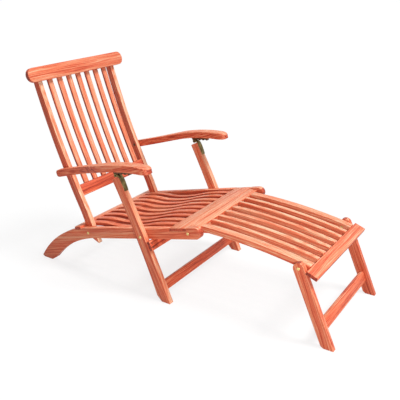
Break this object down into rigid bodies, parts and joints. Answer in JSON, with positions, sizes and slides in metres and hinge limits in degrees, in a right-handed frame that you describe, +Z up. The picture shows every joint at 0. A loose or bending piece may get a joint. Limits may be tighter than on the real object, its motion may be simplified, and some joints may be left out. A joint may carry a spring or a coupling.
{
  "type": "steamer deck chair",
  "caption": "Folding steamer deck chair in oiled hardwood: slatted seat, tall slatted back, bowed arms on brass catches and a hinged footrest.",
  "frame": {"origin": "centre of the chair's bounding box, on the floor", "axes": "+Z up, -Y where the sitter's feet point, +X to the sitter's left"},
  "size_m": [0.6228, 1.4218, 0.8797],
  "materials": {
    "wood": "oiled",
    "brass": "aged"
  },
  "bodies": {
    "seat_frame": {"seat_front_rail": "wood", "seat_rear_rail": "wood", "seat_slat_1": "wood", "seat_slat_2": "wood", "seat_slat_3": "wood", "seat_slat_4": "wood", "seat_slat_5": "wood", "seat_slat_6": "wood", "seat_slat_7": "wood", "seat_slat_8": "wood", "seat_slat_9": "wood", "seat_rail_right": "wood", "seat_rail_left": "wood", "leg_bolt_right": "brass", "leg_bolt_left": "brass", "footrest_bolt_right": "brass", "footrest_bolt_left": "brass"},
    "back_pivot": {"back_bolt_right": "brass", "back_bolt_left": "brass"},
    "back_frame": {"head_rail": "wood", "back_bottom_rail": "wood", "back_slat_1": "wood", "back_slat_2": "wood", "back_slat_3": "wood", "back_slat_4": "wood", "back_slat_5": "wood", "back_slat_6": "wood", "back_slat_7": "wood", "back_stile_right": "wood", "back_stile_left": "wood", "arm_bolt_right": "brass", "arm_bolt_left": "brass"},
    "front_leg_frame": {"leg_crossrail": "wood", "leg_stretcher": "wood", "front_leg_right": "wood", "front_leg_left": "wood", "catch_strap_right": "brass", "catch_strap_left": "brass"},
    "arm_right": {"arm_right": "wood", "catch_rack_right": "brass"},
    "arm_left": {"arm_left": "wood", "catch_rack_left": "brass"},
    "footrest": {"footrest_rear_rail": "wood", "footrest_front_bar": "wood", "footrest_slat_1": "wood", "footrest_slat_2": "wood", "footrest_slat_3": "wood", "footrest_slat_4": "wood", "footrest_slat_5": "wood", "footrest_slat_6": "wood", "footrest_rail_right": "wood", "footrest_rail_left": "wood", "footrest_leg_bolt_right": "brass", "footrest_leg_bolt_left": "brass"},
    "footrest_leg_frame": {"footrest_stretcher": "wood", "footrest_leg_right": "wood", "footrest_leg_left": "wood"}
  },
  "joints": [
    {"name": "back_recline", "type": "hinge", "parent": "seat_frame", "child": "back_pivot", "pos_m": [0, 0.41254, 0.19287], "axis": [-1, 0, 0], "range_deg": [0, 12]},
    {"name": "back_fold", "type": "hinge", "parent": "back_pivot", "child": "back_frame", "pos_m": [0, 0.41254, 0.19287], "axis": [-1, 0, 0], "range_deg": [-84, 0]},
    {"name": "front_leg_fold", "type": "hinge", "parent": "seat_frame", "child": "front_leg_frame", "pos_m": [0, 0.1043, 0.264], "axis": [-1, 0, 0], "range_deg": [-88, 0]},
    {"name": "arm_right_swing", "type": "hinge", "parent": "back_frame", "child": "arm_right", "pos_m": [0, 0.53214, 0.4482], "axis": [-1, 0, 0], "range_deg": [0, 87]},
    {"name": "arm_left_swing", "type": "hinge", "parent": "back_frame", "child": "arm_left", "pos_m": [0, 0.53214, 0.4482], "axis": [-1, 0, 0], "range_deg": [0, 87]},
    {"name": "footrest_fold", "type": "hinge", "parent": "seat_frame", "child": "footrest", "pos_m": [0, -0.10747, 0.32156], "axis": [-1, 0, 0], "range_deg": [-90, 0]},
    {"name": "footrest_leg_fold", "type": "hinge", "parent": "footrest", "child": "footrest_leg_frame", "pos_m": [0, -0.55587, 0.28961], "axis": [-1, 0, 0], "range_deg": [-114, 0]}
  ],
  "couplings": [
    {"joint": "front_leg_fold", "follows": "back_fold", "ratio": 1.04},
    {"joint": "arm_right_swing", "follows": "back_fold", "ratio": -1.03},
    {"joint": "arm_left_swing", "follows": "back_fold", "ratio": -1.03}
  ]
}
